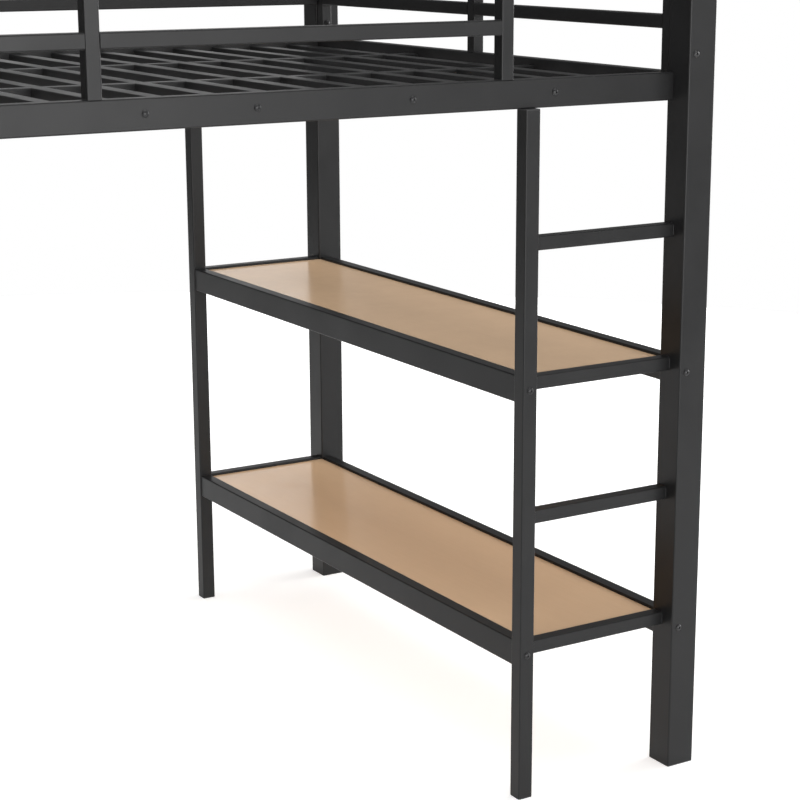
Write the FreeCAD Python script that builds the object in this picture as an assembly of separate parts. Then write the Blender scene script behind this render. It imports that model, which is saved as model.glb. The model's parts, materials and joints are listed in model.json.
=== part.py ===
import FreeCAD, Part
import os

# A full-size loft bed in square steel tube. Four tall corner posts carry a slatted bed
# deck inside guard rails. Under the +X end two shelves span the width of the bed, and
# their thin front post makes the ladder with the corner post. Under the -X end a desk
# spans the width in the same way.
# Millimetres. The origin is on the floor under the middle of the bed. +X runs along the
# bed to the shelf end, +Y to the rear (the side with no ladder), +Z up.

# Whole bed
LENGTH = 1980.0
WIDTH = 1430.0
HEIGHT = 1640.0

# Corner posts
POST = 60.0
POST_RADIUS = 3.0
POST_WALL = 1.5
CAP_THICK = 3.0
FOOT_THICK = 2.0
PLUG_DEPTH = 22.0
PLUG_WALL = 2.5
PLUG_PLAY = 0.3

# Tube used for guards, rungs and short bars, and the deeper tube used for rails
BAR = 25.0
BAR_RADIUS = 2.5
BAR_WALL = 1.2
DEEP_BAR = 50.0

# Thin posts under the side rails
THIN_POST = 30.0

# Side rails and end rails
RAIL_TOP = 1323.0
RAIL_BOTTOM = RAIL_TOP - DEEP_BAR
RAIL_SETBACK = 43.0
END_SETBACK = 32.0
END_PLATE = 3.0

# Guards: three bars above the rails, the same all round
GUARD_BAR_BOTTOMS = {"lower": 1398.0, "middle": 1498.0, "top": 1598.0}
GUARD_TOP = GUARD_BAR_BOTTOMS["top"] + BAR
LADDER_UPRIGHT_X = 571.7
MIDDLE_UPRIGHT_X = -177.0

# Slatted deck, bolted through the side rails at every third slat
SLAT_PITCH = 95.83
SLAT_WIDTH = 30.0
SLAT_HEIGHT = 20.0
SLATS_PER_HALF = 9
BOLTED_SLATS = (1, 4, 7)
SLAT_MID_Z = 1299.0
BEAM_MID_Y = 219.5

# Shelves, desk and ladder
SHELF_POST_X = 616.0
SHELF_TOPS = {"lower_shelf": 307.0, "upper_shelf": 804.0}
DESK_POST_X = 460.0
DESK_TOP = 750.0
RUNG_TOPS = {"ladder_rung_lower": 555.5, "ladder_rung_upper": 1052.5}
THIN_POST_SETBACK = 28.5
BOARD_RECESS = 5.0
BOARD_THICK = 15.0
BOARD_GAP = 0.5
BOARD_EDGE = 1.0
LEDGE_LEG = 18.0
LEDGE_THICK = 2.0
LEDGE_END_GAP = 40.0

# M6 button-head bolts and cap nuts
SHANK_R = 3.0
BORE_R = 3.25
HEAD_R = 6.2
HEAD_HEIGHT = 3.4
HEAD_RIM = 0.8
SOCKET_FLATS = 4.0
SOCKET_DEPTH = 2.2
THREAD_GRIP = 18.0
NUT_FLATS = 10.0
NUT_HEIGHT = 5.0
GUARD_BOLT_Z = (1357.0, 1580.0)
RAIL_BOLT_OFFSET_Z = 14.0
RAIL_BOLT_INSET = 9.5

# Places worked out from the sizes above
HALF_X = LENGTH / 2
HALF_Y = WIDTH / 2
POST_INNER_X = HALF_X - POST
POST_INNER_Y = HALF_Y - POST
POST_TOP = HEIGHT - CAP_THICK
RAIL_OUTER_Y = HALF_Y - RAIL_SETBACK
RAIL_INNER_Y = RAIL_OUTER_Y - BAR
END_OUTER_X = HALF_X - END_SETBACK
END_INNER_X = END_OUTER_X - BAR
END_MID_X = END_OUTER_X - BAR / 2
THIN_OUTER_Y = HALF_Y - THIN_POST_SETBACK
THIN_INNER_Y = THIN_OUTER_Y - THIN_POST
THIN_MID_Y = THIN_OUTER_Y - THIN_POST / 2
SHORT_BAR_OUTER_Y = THIN_MID_Y + BAR / 2
SHORT_BAR_INNER_Y = THIN_MID_Y - BAR / 2

SIDES_X = {"left": -1, "right": 1}
SIDES_Y = {"front": -1, "rear": 1}

nodes = {}


def add(node, *solids):
    nodes.setdefault(node, []).extend(solids)


def span(a, b):
    return (min(a, b), max(a, b))


def rounded_face(width, height, radius):
    """A rounded rectangle about the origin of the XY plane."""
    up = FreeCAD.Vector(0, 0, 1)
    cx = width / 2 - radius
    cy = height / 2 - radius
    corners = ((cx, cy, 0), (-cx, cy, 90), (-cx, -cy, 180), (cx, -cy, 270))
    arcs = []
    for x, y, start in corners:
        centre = FreeCAD.Vector(x, y, 0)
        arcs.append(Part.makeCircle(radius, centre, up, start, start + 90))
    edges = []
    for arc, following in zip(arcs, arcs[1:] + arcs[:1]):
        edges.append(arc)
        edges.append(Part.makeLine(arc.Vertexes[-1].Point, following.Vertexes[0].Point))
    return Part.Face(Part.Wire(edges))


def block(axis, x, y, z, radius):
    """A bar along one axis that fills the spans x, y and z, with its long edges rounded."""
    size = {"X": x[1] - x[0], "Y": y[1] - y[0], "Z": z[1] - z[0]}
    section = {"X": ("Y", "Z"), "Y": ("Z", "X"), "Z": ("X", "Y")}[axis]
    turn = {"X": 120, "Y": 240, "Z": 0}[axis]
    face = rounded_face(size[section[0]], size[section[1]], radius)
    solid = face.extrude(FreeCAD.Vector(0, 0, size[axis]))
    solid.translate(FreeCAD.Vector(0, 0, -size[axis] / 2))
    solid.rotate(FreeCAD.Vector(0, 0, 0), FreeCAD.Vector(1, 1, 1), turn)
    solid.translate(FreeCAD.Vector(sum(x) / 2, sum(y) / 2, sum(z) / 2))
    return solid


def shrink(axis, spans, inset, extend):
    """The spans drawn in by inset across the axis, and lengthened by extend along it."""
    result = {}
    for name, (low, high) in spans.items():
        by = -extend if name == axis else inset
        result[name] = (low + by, high - by)
    return result


def tube(axis, x, y, z, radius=BAR_RADIUS, wall=BAR_WALL):
    """A hollow bar, open at both ends."""
    inner = shrink(axis, {"X": x, "Y": y, "Z": z}, wall, 1.0)
    hollow = block(axis, inner["X"], inner["Y"], inner["Z"], radius - wall)
    return block(axis, x, y, z, radius).cut(hollow)


def end_plug(axis, x, y, z, radius=BAR_RADIUS, wall=BAR_WALL):
    """A solid plug for the inside of a tube whose outer spans are given."""
    inner = shrink(axis, {"X": x, "Y": y, "Z": z}, wall + PLUG_PLAY, 0.0)
    return block(axis, inner["X"], inner["Y"], inner["Z"], radius - wall)


def square(centre_x, centre_y, side):
    x = (centre_x - side / 2, centre_x + side / 2)
    y = (centre_y - side / 2, centre_y + side / 2)
    return x, y


def socket_plug(x, y, flange, plug, wall):
    """A moulded end piece: a flat flange and a hollow sleeve that fits inside a tube."""
    sleeve = end_plug("Z", x, y, plug, POST_RADIUS, wall)
    inner = shrink("Z", {"X": x, "Y": y, "Z": plug}, wall + PLUG_PLAY + PLUG_WALL, 0.0)
    hollow = block("Z", inner["X"], inner["Y"], plug, POST_RADIUS - wall)
    return block("Z", x, y, flange, POST_RADIUS).fuse(sleeve.cut(hollow)).removeSplitter()


def hexagon(flats, height):
    corners = []
    for step in range(7):
        turn = FreeCAD.Rotation(FreeCAD.Vector(0, 0, 1), 60 * step)
        corners.append(turn.multVec(FreeCAD.Vector(flats / 3 ** 0.5, 0, 0)))
    return Part.Face(Part.makePolygon(corners)).extrude(FreeCAD.Vector(0, 0, height))


def dome(radius, rim, height):
    """A button: a short rim, then a round top that rises to the given height."""
    rise = height - rim
    mid = FreeCAD.Vector(radius * 0.78, 0, rim + rise * 0.58)
    flat = radius * 0.35
    edges = [
        Part.makeLine(FreeCAD.Vector(0, 0, 0), FreeCAD.Vector(radius, 0, 0)),
        Part.makeLine(FreeCAD.Vector(radius, 0, 0), FreeCAD.Vector(radius, 0, rim)),
        Part.Arc(FreeCAD.Vector(radius, 0, rim), mid, FreeCAD.Vector(flat, 0, height)).toShape(),
        Part.makeLine(FreeCAD.Vector(flat, 0, height), FreeCAD.Vector(0, 0, height)),
        Part.makeLine(FreeCAD.Vector(0, 0, height), FreeCAD.Vector(0, 0, 0)),
    ]
    profile = Part.Face(Part.Wire(edges))
    return profile.revolve(FreeCAD.Vector(0, 0, 0), FreeCAD.Vector(0, 0, 1), 360)


def stand(solid, point, outward):
    """Turn a solid made along +Z so that it points outward, and put its foot at a point."""
    turn = FreeCAD.Rotation(FreeCAD.Vector(0, 0, 1), FreeCAD.Vector(*outward))
    place = FreeCAD.Placement(FreeCAD.Vector(*point), turn)
    solid.Placement = place.multiply(solid.Placement)
    return solid


def rod(radius, point, outward, length):
    """A round rod from a point, running inward for the given length."""
    cylinder = Part.makeCylinder(radius, length, FreeCAD.Vector(0, 0, -length))
    return stand(cylinder, point, outward)


bores = []
threads = []


def bolt(node, point, outward, length):
    """A button-head bolt with its head seated at a point on a face, and its bore."""
    head = dome(HEAD_R, HEAD_RIM, HEAD_HEIGHT)
    socket = hexagon(SOCKET_FLATS, SOCKET_DEPTH)
    socket.translate(FreeCAD.Vector(0, 0, HEAD_HEIGHT - SOCKET_DEPTH))
    shank = Part.makeCylinder(SHANK_R, length, FreeCAD.Vector(0, 0, -length))
    solid = head.cut(socket).fuse(shank)
    add(node, stand(solid, point, outward))
    bores.append(rod(BORE_R, point, outward, length + 1.0))
    threads.append(rod(SHANK_R, point, outward, length + 1.0))


def cap_nut(node, point, outward):
    """A domed nut seated at a point on a face, threaded right through to its dome."""
    body = hexagon(NUT_FLATS, NUT_HEIGHT)
    crown = dome(NUT_FLATS * 0.46, 0.5, 4.0)
    crown.translate(FreeCAD.Vector(0, 0, NUT_HEIGHT))
    thread = Part.makeCylinder(SHANK_R, NUT_HEIGHT + 1.0)
    add(node, stand(body.fuse(crown).cut(thread), point, outward))


def cut_bores(solid, cutters):
    """Cut from a solid every cutter whose box meets the solid's box."""
    near = [cutter for cutter in cutters if solid.BoundBox.intersect(cutter.BoundBox)]
    return solid.cut(near) if near else solid


def make_posts():
    for name_y, sy in SIDES_Y.items():
        for name_x, sx in SIDES_X.items():
            x, y = square(sx * (HALF_X - POST / 2), sy * (HALF_Y - POST / 2), POST)
            add(f"post_{name_y}_{name_x}", tube("Z", x, y, (FOOT_THICK, POST_TOP), POST_RADIUS, POST_WALL))
            cap = socket_plug(x, y, (POST_TOP, HEIGHT), (POST_TOP - PLUG_DEPTH, POST_TOP), POST_WALL)
            add("post_caps", cap)
            foot = socket_plug(x, y, (0, FOOT_THICK), (FOOT_THICK, FOOT_THICK + PLUG_DEPTH), POST_WALL)
            add("post_feet", foot)


def make_side_rails():
    for name_y, sy in SIDES_Y.items():
        y = span(sy * RAIL_INNER_Y, sy * RAIL_OUTER_Y)
        z = (RAIL_BOTTOM, RAIL_TOP)
        add(f"side_rail_{name_y}", tube("X", (-POST_INNER_X, POST_INNER_X), y, z))
        bolt_y = sy * (POST_INNER_Y + RAIL_BOLT_INSET)
        for sx in SIDES_X.values():
            plate_x = span(sx * (POST_INNER_X - END_PLATE), sx * POST_INNER_X)
            add("side_rail_end_plates", end_plug("X", plate_x, y, z))
            for step in (-1, 1):
                seat = (sx * HALF_X, bolt_y, sum(z) / 2 + step * RAIL_BOLT_OFFSET_Z)
                bolt("rail_end_bolts", seat, (sx, 0, 0), POST + END_PLATE + 8.0)


def make_end_panel(name_x, sx):
    """End rail, three uprights on it and three guard bars, all in one plane."""
    x = span(sx * END_INNER_X, sx * END_OUTER_X)
    add(f"end_rail_{name_x}", tube("Y", x, (-POST_INNER_Y, POST_INNER_Y), (RAIL_BOTTOM, RAIL_TOP)))
    upright_z = (RAIL_TOP, GUARD_BAR_BOTTOMS["top"])
    for sy in SIDES_Y.values():
        y = span(sy * (POST_INNER_Y - BAR), sy * POST_INNER_Y)
        add(f"end_guard_uprights_{name_x}", tube("Z", x, y, upright_z))
        for z in GUARD_BOLT_Z:
            bolt("guard_bolts", (sx * END_MID_X, sy * HALF_Y, z), (0, sy, 0), POST + BAR + NUT_HEIGHT)
            nut_y = sy * (POST_INNER_Y - BAR)
            cap_nut("guard_cap_nuts", (sx * END_MID_X, nut_y, z), (0, -sy, 0))
    add(f"end_guard_uprights_{name_x}", tube("Z", x, (-BAR / 2, BAR / 2), upright_z))
    for level, bottom in GUARD_BAR_BOTTOMS.items():
        z = (bottom, bottom + BAR)
        node = f"end_guard_bar_{level}_{name_x}"
        if level == "top":
            add(node, tube("Y", x, (-POST_INNER_Y, POST_INNER_Y), z))
            continue
        for sy in SIDES_Y.values():
            add(node, tube("Y", x, span(sy * BAR / 2, sy * (POST_INNER_Y - BAR)), z))


def make_front_guard():
    """Uprights on the front rail, bars between them, and a way in at the ladder end."""
    y = (-RAIL_OUTER_Y, -RAIL_INNER_Y)
    upright_z = (RAIL_TOP, GUARD_BAR_BOTTOMS["top"])
    centres = {
        "left": -POST_INNER_X + BAR / 2,
        "middle": MIDDLE_UPRIGHT_X,
        "ladder": LADDER_UPRIGHT_X,
    }
    for name, centre in centres.items():
        x = (centre - BAR / 2, centre + BAR / 2)
        add(f"front_guard_upright_{name}", tube("Z", x, y, upright_z))
    places = list(centres.values())
    for level, bottom in GUARD_BAR_BOTTOMS.items():
        z = (bottom, bottom + BAR)
        node = f"front_guard_bar_{level}"
        if level == "top":
            add(node, tube("X", (-POST_INNER_X, LADDER_UPRIGHT_X + BAR / 2), y, z))
            continue
        for left, right in zip(places, places[1:]):
            add(node, tube("X", (left + BAR / 2, right - BAR / 2), y, z))
    plug_x = (LADDER_UPRIGHT_X + BAR / 2 - PLUG_DEPTH, LADDER_UPRIGHT_X + BAR / 2)
    top_z = (GUARD_BAR_BOTTOMS["top"], GUARD_TOP)
    add("front_guard_end_plug", end_plug("X", plug_x, y, top_z))


def make_rear_guard():
    y = (RAIL_INNER_Y, RAIL_OUTER_Y)
    add("rear_guard_upright", tube("Z", (-BAR / 2, BAR / 2), y, (RAIL_TOP, GUARD_BAR_BOTTOMS["top"])))
    for level, bottom in GUARD_BAR_BOTTOMS.items():
        z = (bottom, bottom + BAR)
        node = f"rear_guard_bar_{level}"
        if level == "top":
            add(node, tube("X", (-POST_INNER_X, POST_INNER_X), y, z))
            continue
        for sx in SIDES_X.values():
            add(node, tube("X", span(sx * BAR / 2, sx * POST_INNER_X), y, z))


def make_deck():
    """Two welded halves of slats and beams, either side of one bar across the middle."""
    z = (SLAT_MID_Z - SLAT_HEIGHT / 2, SLAT_MID_Z + SLAT_HEIGHT / 2)
    beam_inner = BEAM_MID_Y - BAR / 2
    beam_outer = BEAM_MID_Y + BAR / 2
    runs = ((-RAIL_INNER_Y, -beam_outer), (-beam_inner, beam_inner), (beam_outer, RAIL_INNER_Y))
    middle = (-SLAT_WIDTH / 2, SLAT_WIDTH / 2)
    add("deck_centre_bar", tube("Y", middle, (-RAIL_INNER_Y, RAIL_INNER_Y), z))
    for name_x, sx in SIDES_X.items():
        for sy in SIDES_Y.values():
            beam_x = span(sx * SLAT_WIDTH / 2, sx * END_INNER_X)
            beam_y = span(sy * beam_inner, sy * beam_outer)
            add("deck_beams", tube("X", beam_x, beam_y, z))
        for count in range(1, SLATS_PER_HALF + 1):
            centre = sx * count * SLAT_PITCH
            x = (centre - SLAT_WIDTH / 2, centre + SLAT_WIDTH / 2)
            for run in runs:
                add(f"deck_slats_{name_x}", tube("Y", x, run, z))
            if count not in BOLTED_SLATS:
                continue
            for sy in SIDES_Y.values():
                plug_y = span(sy * (RAIL_INNER_Y - THREAD_GRIP - 4.0), sy * RAIL_INNER_Y)
                add("threaded_plugs", end_plug("Y", x, plug_y, z))
                bolt("deck_bolts", (centre, sy * RAIL_OUTER_Y, SLAT_MID_Z), (0, sy, 0), BAR + THREAD_GRIP)


def make_thin_post(node, centre_x, sy):
    """A thin post up to the side rail, which covers only part of its closed top."""
    x, y = square(centre_x, sy * THIN_MID_Y, THIN_POST)
    low = FOOT_THICK
    high = RAIL_BOTTOM - FOOT_THICK
    add(node, tube("Z", x, y, (low, high)))
    foot = socket_plug(x, y, (0, low), (low, low + PLUG_DEPTH), BAR_WALL)
    top = socket_plug(x, y, (high, RAIL_BOTTOM), (high - PLUG_DEPTH, high), BAR_WALL)
    add("thin_post_end_pieces", foot, top)


def ledge(x_bar, towards, board_bottom):
    """An angle strip on the side of a long bar, with one leg under the board."""
    y = (-POST_INNER_Y + LEDGE_END_GAP, POST_INNER_Y - LEDGE_END_GAP)
    length = FreeCAD.Vector(0, y[1] - y[0], 0)
    out = towards * LEDGE_LEG
    skin = towards * LEDGE_THICK
    top = board_bottom
    outline = [(0, top), (out, top), (out, top - LEDGE_THICK), (skin, top - LEDGE_THICK)]
    outline += [(skin, top - LEDGE_LEG), (0, top - LEDGE_LEG), (0, top)]
    points = [FreeCAD.Vector(x_bar + dx, y[0], z) for dx, z in outline]
    return Part.Face(Part.makePolygon(points)).extrude(length)


def make_tier(name, board_name, sx, post_x, top):
    """A frame of two long bars and two short bars across the bed, with its board inside."""
    deep_z = (top - DEEP_BAR, top)
    short_z = (top - BAR, top)
    inner_x = span(sx * (post_x - BAR / 2), sx * (post_x + BAR / 2))
    outer_x = span(sx * END_INNER_X, sx * END_OUTER_X)
    bars = (
        ("inner_bar", inner_x, THIN_INNER_Y, THIN_OUTER_Y, sx * post_x),
        ("outer_bar", outer_x, POST_INNER_Y, HALF_Y, sx * END_MID_X),
    )
    for bar_name, x, end_y, face_y, bolt_x in bars:
        add(f"{name}_{bar_name}", tube("Y", x, (-end_y, end_y), deep_z))
        for sy in SIDES_Y.values():
            plug_y = span(sy * (end_y - THREAD_GRIP - 4.0), sy * end_y)
            add("threaded_plugs", end_plug("Y", x, plug_y, deep_z))
            reach = face_y - end_y + THREAD_GRIP
            bolt("tier_bolts", (bolt_x, sy * face_y, sum(deep_z) / 2), (0, sy, 0), reach)
    short_x = span(sx * (post_x + THIN_POST / 2), sx * POST_INNER_X)
    for sy in SIDES_Y.values():
        short_y = span(sy * SHORT_BAR_INNER_Y, sy * SHORT_BAR_OUTER_Y)
        add(f"{name}_end_bars", tube("X", short_x, short_y, short_z))

    board_top = top - BOARD_RECESS
    board_bottom = board_top - BOARD_THICK
    x = span(sx * (post_x + BAR / 2 + BOARD_GAP), sx * (END_INNER_X - BOARD_GAP))
    y_edge = SHORT_BAR_INNER_Y - BOARD_GAP
    board = block("Z", x, (-y_edge, y_edge), (board_bottom, board_top), 1.5)
    rims = [edge for edge in board.Edges if abs(edge.BoundBox.ZMin - edge.BoundBox.ZMax) < 0.01]
    board = board.makeChamfer(BOARD_EDGE, rims)
    for sy in SIDES_Y.values():
        corners = (
            (sx * post_x, sy * THIN_MID_Y, THIN_POST),
            (sx * (HALF_X - POST / 2), sy * (HALF_Y - POST / 2), POST),
        )
        for cx, cy, side in corners:
            notch_x, notch_y = square(cx, cy, side + 2 * BOARD_GAP)
            notch = block("Z", notch_x, notch_y, (board_bottom - 1, board_top + 1), 1.0)
            board = board.cut(notch)
    add(board_name, board)
    add("board_ledges", ledge(sx * (post_x + BAR / 2), sx, board_bottom))
    add("board_ledges", ledge(sx * END_INNER_X, -sx, board_bottom))


def make_ladder():
    x = (SHELF_POST_X + THIN_POST / 2, POST_INNER_X)
    y = (-SHORT_BAR_OUTER_Y, -SHORT_BAR_INNER_Y)
    for node, top in RUNG_TOPS.items():
        add(node, tube("X", x, y, (top - BAR, top)))


make_posts()
make_side_rails()
for side_name, side in SIDES_X.items():
    make_end_panel(side_name, side)
make_front_guard()
make_rear_guard()
make_deck()
for side_name, side in SIDES_Y.items():
    make_thin_post(f"shelf_post_{side_name}", SHELF_POST_X, side)
    make_thin_post(f"desk_post_{side_name}", -DESK_POST_X, side)
for tier_name, tier_top in SHELF_TOPS.items():
    make_tier(tier_name, f"{tier_name}_board", 1, SHELF_POST_X, tier_top)
make_tier("desk", "desk_top", -1, DESK_POST_X, DESK_TOP)
make_ladder()

BOLTED_THROUGH = (
    "post_front",
    "post_rear",
    "side_rail_front",
    "side_rail_rear",
    "end_guard_uprights",
    "shelf_post",
    "desk_post",
)
TAPPED = ("threaded_plugs", "side_rail_end_plates")

os.makedirs("parts", exist_ok=True)
for node, solids in nodes.items():
    if node.startswith(BOLTED_THROUGH):
        solids = [cut_bores(solid, bores) for solid in solids]
    if node in TAPPED:
        solids = [cut_bores(solid, threads) for solid in solids]
    shape = solids[0] if len(solids) == 1 else Part.makeCompound(solids)
    shape.exportStep(f"parts/{node}.step")
print(len(nodes), "nodes")
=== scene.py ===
import json
import math
import random

import bmesh
import bpy
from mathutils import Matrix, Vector


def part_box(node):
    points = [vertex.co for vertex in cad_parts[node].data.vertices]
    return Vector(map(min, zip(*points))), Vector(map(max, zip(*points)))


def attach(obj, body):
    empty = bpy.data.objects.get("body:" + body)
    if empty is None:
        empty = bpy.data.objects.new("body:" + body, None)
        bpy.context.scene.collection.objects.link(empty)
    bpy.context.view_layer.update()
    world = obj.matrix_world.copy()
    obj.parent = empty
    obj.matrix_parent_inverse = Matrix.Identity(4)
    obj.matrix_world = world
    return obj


# The looks of a loft bed: black powder-coated steel tube with small weld beads, black bolts
# and end pieces, and tan laminated boards. Metres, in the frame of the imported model.

BODY = "root"
X, Y, Z = 0, 1, 2

# Edges that turn by more than this many degrees are shaded sharp
SHARP_ANGLE = 35.0

# Weld beads
BEAD_RADIUS = 0.0016
BEAD_SIDES = 6
BEAD_INSET = 0.0025
END_TAPER = 0.45
RIPPLE_LENGTH = 0.0024
RIPPLE_DEPTH = 0.16
RIPPLE_PLAY = 0.05
WELD_SEED = 11
TOUCHING = 0.001

# Floor: its glow grows from the middle stretch out to the rim, and the glow that reaches the
# object is only a share of the glow that the camera sees
FLOOR_RADIUS = 5.0
FLOOR_SIDES = 96
GLOW_STARTS, GLOW_ENDS = 2.6, 4.6
GLOW_MIDDLE, GLOW_RIM = 0.48, 0.95
GLOW_SHARE = 0.5

# Backdrop strength as the object sees it, on the front side and behind
BACKDROP_FRONT, BACKDROP_BACK = 0.44, 0.14

# Soft rectangular lights: place, point aimed at, width and height, watts
LIGHTS = {
    "front": ((0.0, -7.0, 1.3), (0.0, 0.0, 0.9), (6.0, 2.6), 274.0),
    "front_right": ((5.0, -6.0, 2.5), (0.0, 0.0, 0.8), (4.0, 3.0), 45.0),
    "right": ((7.0, 0.0, 2.0), (0.0, 0.0, 0.8), (5.0, 3.0), 400.0),
    "overhead": ((0.0, 0.0, 5.5), (0.0, 0.0, 0.0), (6.0, 6.0), 230.0),
    "back": ((5.2, 12.0, 3.9), (0.8, 0.0, 0.6), (3.5, 2.2), 30.0),
}

# Camera: degrees clockwise from +Y, degrees downward, millimetres of lens, shares of the frame
CAMERA_PLACE = (-1.3496, -3.5052, 1.5813)
CAMERA_HEADING = 32.03
CAMERA_DROP = 13.996
CAMERA_LENS = 89.71
CAMERA_SENSOR = 36.0
CAMERA_SHIFT = (-0.0417, 0.0252)
CAMERA_REACH = 200.0

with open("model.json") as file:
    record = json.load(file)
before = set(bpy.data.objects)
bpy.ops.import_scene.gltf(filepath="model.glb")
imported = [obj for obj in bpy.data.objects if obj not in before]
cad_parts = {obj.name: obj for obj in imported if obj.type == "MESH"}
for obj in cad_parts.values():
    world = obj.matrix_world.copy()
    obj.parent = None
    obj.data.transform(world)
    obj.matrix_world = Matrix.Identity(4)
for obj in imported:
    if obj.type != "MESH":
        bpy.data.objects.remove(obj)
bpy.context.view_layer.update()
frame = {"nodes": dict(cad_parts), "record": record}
nodes = frame["nodes"]
scene = bpy.context.scene


# ---------------------------------------------------------------- node helpers

def new_material(name):
    """A material with only its output and its principled shader, ready to be filled in."""
    material = bpy.data.materials.new(name)
    material.use_nodes = True
    tree = material.node_tree
    tree.nodes.clear()
    shader = tree.nodes.new("ShaderNodeBsdfPrincipled")
    output = tree.nodes.new("ShaderNodeOutputMaterial")
    tree.links.new(shader.outputs["BSDF"], output.inputs["Surface"])
    return material, tree, shader


def object_coordinates(tree, scale=(1.0, 1.0, 1.0)):
    """Coordinates in the object's own space, stretched by a scale per axis."""
    coordinates = tree.nodes.new("ShaderNodeTexCoord")
    mapping = tree.nodes.new("ShaderNodeMapping")
    mapping.inputs["Scale"].default_value = scale
    tree.links.new(coordinates.outputs["Object"], mapping.inputs["Vector"])
    return mapping.outputs["Vector"]


def noise(tree, vector, scale, detail=2.0, roughness=0.5):
    texture = tree.nodes.new("ShaderNodeTexNoise")
    texture.inputs["Scale"].default_value = scale
    texture.inputs["Detail"].default_value = detail
    texture.inputs["Roughness"].default_value = roughness
    tree.links.new(vector, texture.inputs["Vector"])
    return texture.outputs["Fac"]


def remap(tree, value, source, target):
    """Carry a value from the range source = (low, high) over to the range target."""
    node = tree.nodes.new("ShaderNodeMapRange")
    node.inputs["From Min"].default_value, node.inputs["From Max"].default_value = source
    node.inputs["To Min"].default_value, node.inputs["To Max"].default_value = target
    tree.links.new(value, node.inputs["Value"])
    return node.outputs["Result"]


def mix_colour(tree, factor, first, second):
    """From first to second as factor goes from 0 to 1. Each is a colour or a socket."""
    node = tree.nodes.new("ShaderNodeMix")
    node.data_type = "RGBA"
    tree.links.new(factor, node.inputs["Factor"])
    for socket, value in (("A", first), ("B", second)):
        target = [s for s in node.inputs if s.name == socket and s.type == "RGBA"][0]
        if isinstance(value, tuple):
            target.default_value = value + (1.0,)
        else:
            tree.links.new(value, target)
    return [s for s in node.outputs if s.type == "RGBA"][0]


def combine(tree, operation, first, second):
    """Two values put together by a math node."""
    node = tree.nodes.new("ShaderNodeMath")
    node.operation = operation
    tree.links.new(first, node.inputs[0])
    tree.links.new(second, node.inputs[1])
    return node.outputs["Value"]


def bump(tree, shader, height, distance, strength):
    node = tree.nodes.new("ShaderNodeBump")
    node.inputs["Distance"].default_value = distance
    node.inputs["Strength"].default_value = strength
    tree.links.new(height, node.inputs["Height"])
    tree.links.new(node.outputs["Normal"], shader.inputs["Normal"])


# ---------------------------------------------------------------- materials

NOISE_MIDDLE = (0.3, 0.7)    # the range where nearly all of a noise texture's values lie
FULL = (0.0, 1.0)


def powder_coat():
    """Satin black powder coat: slight mottling, and the fine dimples of a baked coat."""
    material, tree, shader = new_material("frame_powder_coat")
    place = object_coordinates(tree)
    mottle = noise(tree, place, scale=9.0, detail=3.0)
    colour = mix_colour(tree, remap(tree, mottle, NOISE_MIDDLE, FULL),
                        (0.0110, 0.0110, 0.0114), (0.0130, 0.0130, 0.0134))
    tree.links.new(colour, shader.inputs["Base Color"])
    roughness = remap(tree, mottle, NOISE_MIDDLE, (0.34, 0.42))
    tree.links.new(roughness, shader.inputs["Roughness"])
    shader.inputs["Specular IOR Level"].default_value = 0.3
    peel = noise(tree, place, scale=620.0, detail=2.0, roughness=0.55)
    bump(tree, shader, peel, distance=0.00012, strength=0.35)
    return material


def black_bolt():
    """Black-finished steel, a little smoother than the tubes."""
    material, tree, shader = new_material("bolt_black")
    place = object_coordinates(tree)
    wear = noise(tree, place, scale=160.0, detail=4.0, roughness=0.6)
    colour = mix_colour(tree, remap(tree, wear, (0.45, 0.75), FULL),
                        (0.020, 0.020, 0.021), (0.055, 0.055, 0.056))
    tree.links.new(colour, shader.inputs["Base Color"])
    roughness = remap(tree, wear, NOISE_MIDDLE, (0.28, 0.42))
    tree.links.new(roughness, shader.inputs["Roughness"])
    shader.inputs["Metallic"].default_value = 0.35
    return material


def bare_steel():
    """Plain steel inside the tubes, with drawn streaks."""
    material, tree, shader = new_material("plug_steel")
    drawn = object_coordinates(tree, (1.0, 14.0, 14.0))
    streaks = noise(tree, drawn, scale=60.0, detail=3.0)
    colour = mix_colour(tree, streaks, (0.36, 0.36, 0.37), (0.52, 0.52, 0.53))
    tree.links.new(colour, shader.inputs["Base Color"])
    roughness = remap(tree, streaks, NOISE_MIDDLE, (0.3, 0.5))
    tree.links.new(roughness, shader.inputs["Roughness"])
    shader.inputs["Metallic"].default_value = 1.0
    return material


def moulded_plastic():
    """Black moulded plastic with a fine spark-eroded texture."""
    material, tree, shader = new_material("end_piece_plastic")
    place = object_coordinates(tree)
    grain = noise(tree, place, scale=900.0, detail=2.0)
    shade = noise(tree, place, scale=25.0, detail=2.0)
    colour = mix_colour(tree, shade, (0.022, 0.022, 0.023), (0.029, 0.029, 0.030))
    tree.links.new(colour, shader.inputs["Base Color"])
    roughness = remap(tree, grain, NOISE_MIDDLE, (0.5, 0.65))
    tree.links.new(roughness, shader.inputs["Roughness"])
    bump(tree, shader, grain, distance=0.00015, strength=0.4)
    return material


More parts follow.
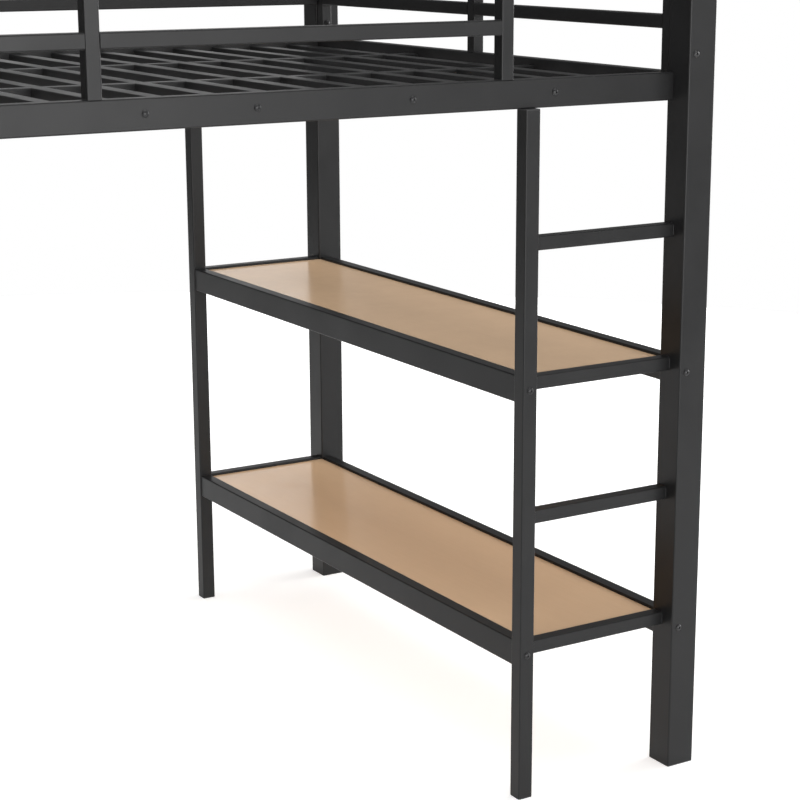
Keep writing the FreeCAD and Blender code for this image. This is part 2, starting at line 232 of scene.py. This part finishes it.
def board_laminate():
    """Tan printed laminate: a faint straight grain along the board, under a smooth clear
    layer whose gloss varies a little."""
    material, tree, shader = new_material("board_laminate")
    along = object_coordinates(tree, (26.0, 1.2, 26.0))
    fibres = noise(tree, along, scale=9.0, detail=6.0, roughness=0.62)
    broad = noise(tree, object_coordinates(tree, (3.0, 0.6, 3.0)), scale=1.6, detail=2.0)
    tone = mix_colour(tree, remap(tree, fibres, (0.32, 0.68), FULL),
                      (0.725, 0.490, 0.300), (0.745, 0.508, 0.314))
    colour = mix_colour(tree, remap(tree, broad, (0.35, 0.65), (0.0, 0.35)),
                        tone, (0.715, 0.486, 0.298))
    tree.links.new(colour, shader.inputs["Base Color"])
    haze = noise(tree, object_coordinates(tree), scale=22.0, detail=3.0)
    roughness = remap(tree, haze, NOISE_MIDDLE, (0.20, 0.24))
    tree.links.new(roughness, shader.inputs["Roughness"])
    shader.inputs["Specular IOR Level"].default_value = 0.4
    pores = noise(tree, object_coordinates(tree, (1.0, 0.12, 1.0)), scale=900.0, detail=3.0)
    bump(tree, shader, pores, distance=0.00008, strength=0.15)
    return material


MATERIALS = {
    "frame_powder_coat": powder_coat(),
    "bolt_black": black_bolt(),
    "plug_steel": bare_steel(),
    "end_piece_plastic": moulded_plastic(),
    "board_laminate": board_laminate(),
}


def round_off(piece):
    """Shade rounded corners and bolt heads smoothly, and keep flats flat and edges sharp."""
    piece.data.shade_smooth()
    piece.data.set_sharp_from_angle(angle=math.radians(SHARP_ANGLE))
    flats = piece.modifiers.new("flats", "WEIGHTED_NORMAL")
    flats.keep_sharp = True
    flats.weight = 100


for entry in frame["record"]["subparts"]:
    piece = nodes[entry["node"]]
    piece.data.materials.clear()
    piece.data.materials.append(MATERIALS[entry["material_slot"]])
    round_off(piece)


# ---------------------------------------------------------------- welds

weld_mesh = bmesh.new()
weld_play = random.Random(WELD_SEED)


def lay_bead(start, end):
    """One straight run of weld: a thin rippled bead, closed and tapered at both ends."""
    run = end - start
    side = run.orthogonal().normalized()
    up = run.cross(side).normalized()
    steps = 2 * max(3, round(run.length / RIPPLE_LENGTH))
    rings = []
    for step in range(steps + 1):
        taper = END_TAPER if step in (0, steps) else 1.0
        swell = 1.0 - RIPPLE_DEPTH * (step % 2) + weld_play.uniform(-RIPPLE_PLAY, RIPPLE_PLAY)
        radius = BEAD_RADIUS * taper * swell
        centre = start + run * (step / steps)
        ring = []
        for turn in range(BEAD_SIDES):
            angle = 2 * math.pi * turn / BEAD_SIDES
            point = centre + radius * (math.cos(angle) * side + math.sin(angle) * up)
            ring.append(weld_mesh.verts.new(point))
        rings.append(ring)
    for ring, following in zip(rings, rings[1:]):
        for turn in range(BEAD_SIDES):
            after = (turn + 1) % BEAD_SIDES
            weld_mesh.faces.new((ring[turn], ring[after], following[after], following[turn]))
    weld_mesh.faces.new(rings[0][::-1])
    weld_mesh.faces.new(rings[-1])


def weld(low, high, axis, place, facing_axes):
    """Beads where a bar along an axis meets a face, on its sides that face along other axes."""
    for facing in facing_axes:
        across = X + Y + Z - axis - facing
        for level in (low[facing], high[facing]):
            start = Vector((0.0, 0.0, 0.0))
            start[axis] = place
            start[facing] = level
            end = start.copy()
            start[across] = low[across] + BEAD_INSET
            end[across] = high[across] - BEAD_INSET
            lay_bead(start, end)


def narrowed(low, high, axis, span):
    """A box cut down to a span along one axis."""
    low, high = Vector(low), Vector(high)
    low[axis], high[axis] = span
    return low, high


def weld_rung(node):
    """All round both ends of a ladder rung."""
    low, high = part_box(node)
    for place in (low[X], high[X]):
        weld(low, high, X, place, (Y, Z))


def weld_short_bars(node):
    """All round both ends of the two short bars at the ends of a shelf or of the desk."""
    low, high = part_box(node)
    bar = high[Z] - low[Z]
    for span in ((low[Y], low[Y] + bar), (high[Y] - bar, high[Y])):
        for place in (low[X], high[X]):
            weld(*narrowed(low, high, Y, span), X, place, (Y, Z))


def weld_end_guard(side):
    """Uprights to rail and top bar, and the lower two bars to the uprights."""
    low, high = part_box(f"end_guard_uprights_{side}")
    bar = high[X] - low[X]
    for span in ((low[Y], low[Y] + bar), (-bar / 2, bar / 2), (high[Y] - bar, high[Y])):
        for place in (low[Z], high[Z]):
            weld(*narrowed(low, high, Y, span), Z, place, (Y,))
    for level in ("lower", "middle"):
        low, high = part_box(f"end_guard_bar_{level}_{side}")
        for place in (low[Y], -bar / 2, bar / 2, high[Y]):
            weld(low, high, Y, place, (Z,))


def weld_long_guard(side, uprights):
    """The same for the front or rear guard. A bar has no weld where it ends at a post."""
    faces = set()
    for upright in uprights:
        low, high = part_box(upright)
        faces |= {low[X], high[X]}
        for place in (low[Z], high[Z]):
            weld(low, high, Z, place, (X,))
    for level in ("lower", "middle"):
        low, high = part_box(f"{side}_guard_bar_{level}")
        for place in sorted(faces):
            if low[X] - TOUCHING <= place <= high[X] + TOUCHING:
                weld(low, high, X, place, (Z,))


def add_welds():
    for name in ("lower", "upper"):
        weld_rung(f"ladder_rung_{name}")
    for name in ("lower_shelf", "upper_shelf", "desk"):
        weld_short_bars(f"{name}_end_bars")
    for side in ("left", "right"):
        weld_end_guard(side)
    weld_long_guard("front", [f"front_guard_upright_{name}" for name in ("left", "middle", "ladder")])
    weld_long_guard("rear", ["rear_guard_upright"])
    welds = bpy.data.objects.new("weld_beads", bpy.data.meshes.new("weld_beads"))
    weld_mesh.to_mesh(welds.data)
    weld_mesh.free()
    welds.data.materials.append(MATERIALS["frame_powder_coat"])
    welds.data.shade_smooth()
    scene.collection.objects.link(welds)
    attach(welds, BODY)


# ---------------------------------------------------------------- floor, light, camera

def add_floor():
    """A pale round floor under the bed. It glows a little, and more toward its rim, where it
    is as bright as the backdrop it ends against."""
    mesh = bpy.data.meshes.new("floor")
    turns = [2 * math.pi * i / FLOOR_SIDES for i in range(FLOOR_SIDES)]
    rim = [(FLOOR_RADIUS * math.cos(turn), FLOOR_RADIUS * math.sin(turn), 0.0) for turn in turns]
    mesh.from_pydata(rim, [], [tuple(range(FLOOR_SIDES))])
    floor = bpy.data.objects.new("floor", mesh)
    material, tree, shader = new_material("floor")
    place = object_coordinates(tree)
    speckle = noise(tree, place, scale=2.0, detail=2.0)
    colour = mix_colour(tree, speckle, (0.80, 0.80, 0.80), (0.79, 0.79, 0.79))
    tree.links.new(colour, shader.inputs["Base Color"])
    shader.inputs["Roughness"].default_value = 0.9
    shader.inputs["Specular IOR Level"].default_value = 0.1
    shader.inputs["Emission Color"].default_value = (1.0, 1.0, 1.0, 1.0)
    reach = tree.nodes.new("ShaderNodeVectorMath")
    reach.operation = "LENGTH"
    tree.links.new(place, reach.inputs[0])
    glow = remap(tree, reach.outputs["Value"], (GLOW_STARTS, GLOW_ENDS), (GLOW_MIDDLE, GLOW_RIM))
    path = tree.nodes.new("ShaderNodeLightPath")
    share = remap(tree, path.outputs["Is Camera Ray"], FULL, (GLOW_SHARE, 1.0))
    tree.links.new(combine(tree, "MULTIPLY", glow, share), shader.inputs["Emission Strength"])
    mesh.materials.append(material)
    scene.collection.objects.link(floor)


def add_backdrop():
    """A white backdrop to look at, which lights the object with less than its full glow, and
    with less from behind the object than from in front of it."""
    world = bpy.data.worlds.new("studio")
    world.use_nodes = True
    tree = world.node_tree
    background = tree.nodes["Background"]
    background.inputs["Color"].default_value = (1.0, 1.0, 1.0, 1.0)
    direction = tree.nodes.new("ShaderNodeSeparateXYZ")
    coordinates = tree.nodes.new("ShaderNodeTexCoord")
    tree.links.new(coordinates.outputs["Generated"], direction.inputs[0])
    lit = remap(tree, direction.outputs["Y"], (-1.0, 1.0), (BACKDROP_FRONT, BACKDROP_BACK))
    path = tree.nodes.new("ShaderNodeLightPath")
    seen = combine(tree, "MAXIMUM", path.outputs["Is Camera Ray"], lit)
    tree.links.new(seen, background.inputs["Strength"])
    scene.world = world


def add_light(name, place, target, size, power):
    """A soft rectangular light, which doesn't itself show in the picture."""
    light = bpy.data.lights.new(name, "AREA")
    light.shape = "RECTANGLE"
    light.size, light.size_y = size
    light.energy = power
    lamp = bpy.data.objects.new(name, light)
    lamp.location = place
    lamp.rotation_euler = (Vector(target) - Vector(place)).to_track_quat("-Z", "Y").to_euler()
    lamp.visible_camera = False
    scene.collection.objects.link(lamp)


def add_camera():
    data = bpy.data.cameras.new("camera")
    data.sensor_width = CAMERA_SENSOR
    data.lens = CAMERA_LENS
    data.shift_x, data.shift_y = CAMERA_SHIFT
    data.clip_end = CAMERA_REACH
    camera = bpy.data.objects.new("camera", data)
    camera.location = CAMERA_PLACE
    tilt = math.radians(90.0 - CAMERA_DROP)
    camera.rotation_euler = (tilt, 0.0, math.radians(-CAMERA_HEADING))
    scene.collection.objects.link(camera)
    scene.camera = camera


add_welds()
add_floor()
add_backdrop()
for light_name, settings in LIGHTS.items():
    add_light(light_name, *settings)
add_camera()

scene.view_settings.view_transform = "Standard"
